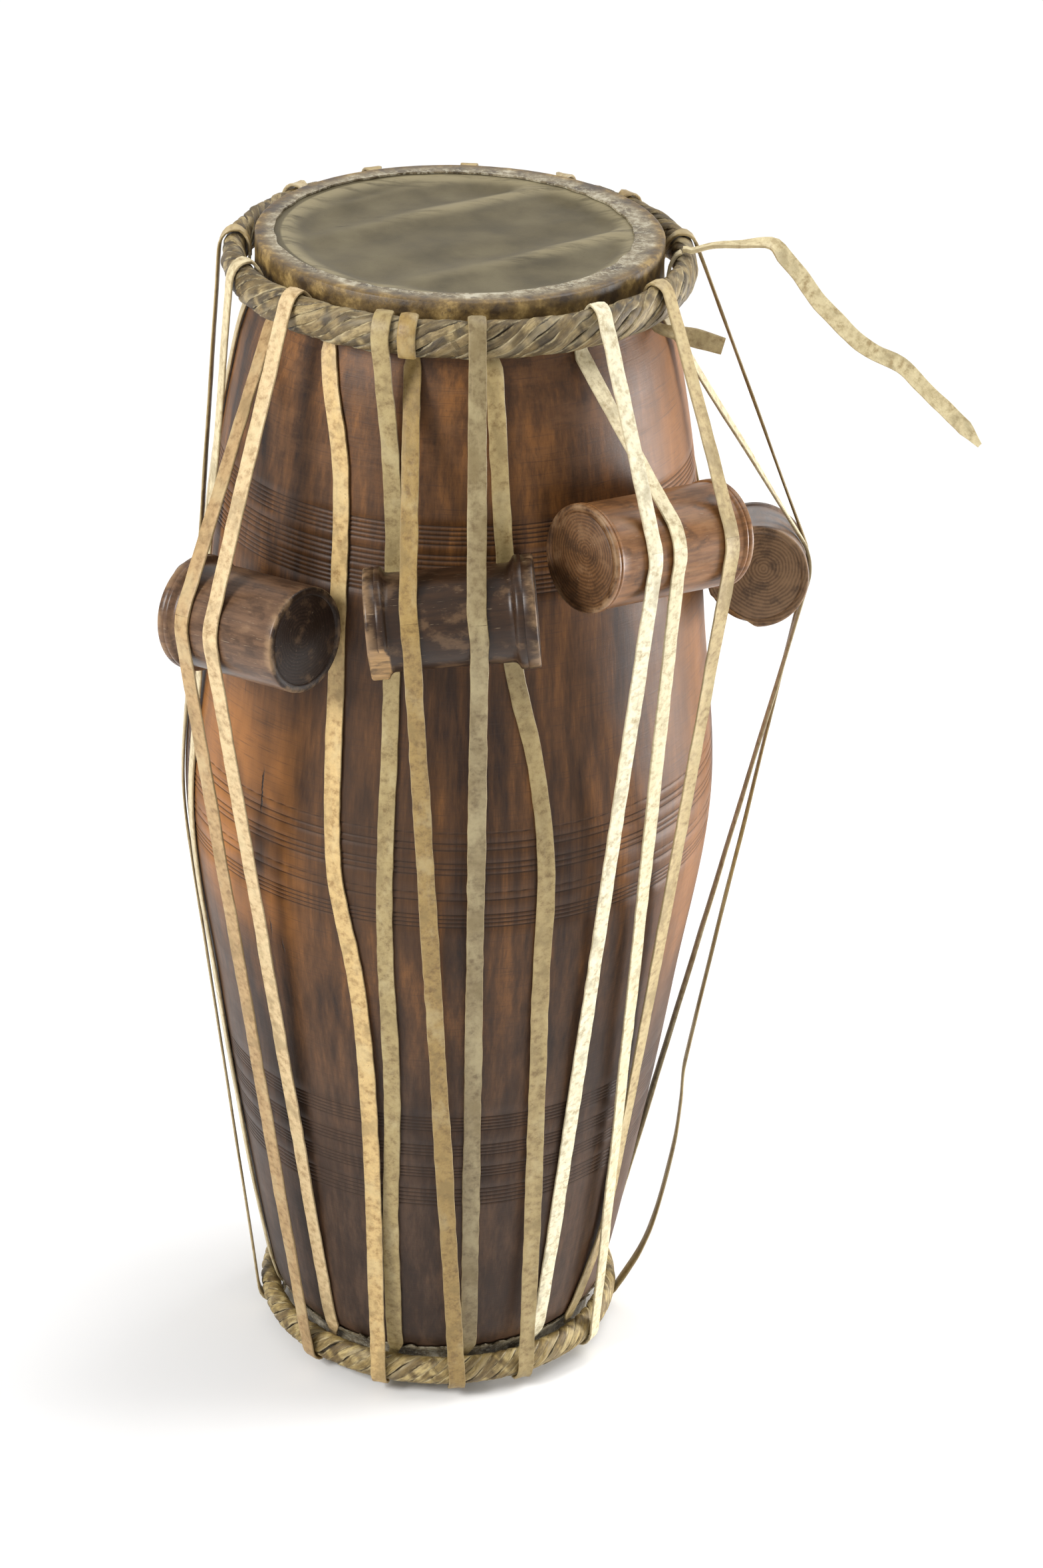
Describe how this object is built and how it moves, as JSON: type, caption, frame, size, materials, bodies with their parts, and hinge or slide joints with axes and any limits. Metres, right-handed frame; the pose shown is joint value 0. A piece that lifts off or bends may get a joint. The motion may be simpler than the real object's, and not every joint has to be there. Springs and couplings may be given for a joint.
{
  "type": "pakhawaj",
  "caption": "Pakhawaj: a two-headed barrel drum of turned wood, with rawhide lacing over sliding tuning blocks, standing on its treble head.",
  "frame": {"origin": "centre of the treble head's flat face, which the drum stands on", "axes": "+Z along the drum's axis up to the bass head, -Y towards the front tuning block"},
  "size_m": [0.4366, 0.372, 0.6637],
  "materials": {
    "shell_wood": "satin",
    "block_wood": "satin",
    "drum_skin": "matte",
    "ring_skin": "matte",
    "lining_skin": "matte",
    "hoop_leather": "matte",
    "lace_rawhide": "matte",
    "tuning_paste": "matte"
  },
  "bodies": {
    "drum": {"shell": "shell_wood", "treble_lining_ring": "lining_skin", "treble_skin": "drum_skin", "treble_ring": "ring_skin", "treble_paste": "tuning_paste", "treble_hoop": "hoop_leather", "bass_lining_ring": "lining_skin", "bass_skin": "drum_skin", "bass_ring": "ring_skin", "bass_hoop": "hoop_leather", "front_lace": "lace_rawhide", "long_lace": "lace_rawhide", "lace_tail": "lace_rawhide"},
    "block_front_left": {"block_front_left": "block_wood"},
    "block_front": {"block_front": "block_wood"},
    "block_front_right": {"block_front_right": "block_wood"},
    "block_right": {"block_right": "block_wood"},
    "block_back_right": {"block_back_right": "block_wood"},
    "block_back": {"block_back": "block_wood"},
    "block_back_left": {"block_back_left": "block_wood"}
  },
  "joints": [
    {"name": "block_front_left_slide", "type": "slide", "parent": "drum", "child": "block_front_left", "axis": [0.0642, 0.079, 0.9948], "range_m": [-0.03, 0.015], "deforming": ["long_lace"]},
    {"name": "block_front_slide", "type": "slide", "parent": "drum", "child": "block_front", "axis": [0, 0.1085, 0.9941], "range_m": [-0.03, 0.015], "deforming": ["front_lace", "long_lace"]},
    {"name": "block_front_right_slide", "type": "slide", "parent": "drum", "child": "block_front_right", "axis": [-0.0881, 0.1072, 0.9903], "range_m": [-0.03, 0.015], "deforming": ["front_lace"]},
    {"name": "block_right_slide", "type": "slide", "parent": "drum", "child": "block_right", "axis": [-0.1003, 0.0026, 0.995], "range_m": [-0.03, 0.015], "deforming": ["long_lace"]},
    {"name": "block_back_right_slide", "type": "slide", "parent": "drum", "child": "block_back_right", "axis": [-0.0604, -0.0671, 0.9959], "range_m": [-0.03, 0.015], "deforming": ["long_lace"]},
    {"name": "block_back_slide", "type": "slide", "parent": "drum", "child": "block_back", "axis": [0, -0.1018, 0.9948], "range_m": [-0.03, 0.015], "deforming": ["long_lace"]},
    {"name": "block_back_left_slide", "type": "slide", "parent": "drum", "child": "block_back_left", "axis": [0.0559, -0.0621, 0.9965], "range_m": [-0.03, 0.015], "deforming": ["long_lace"]}
  ]
}
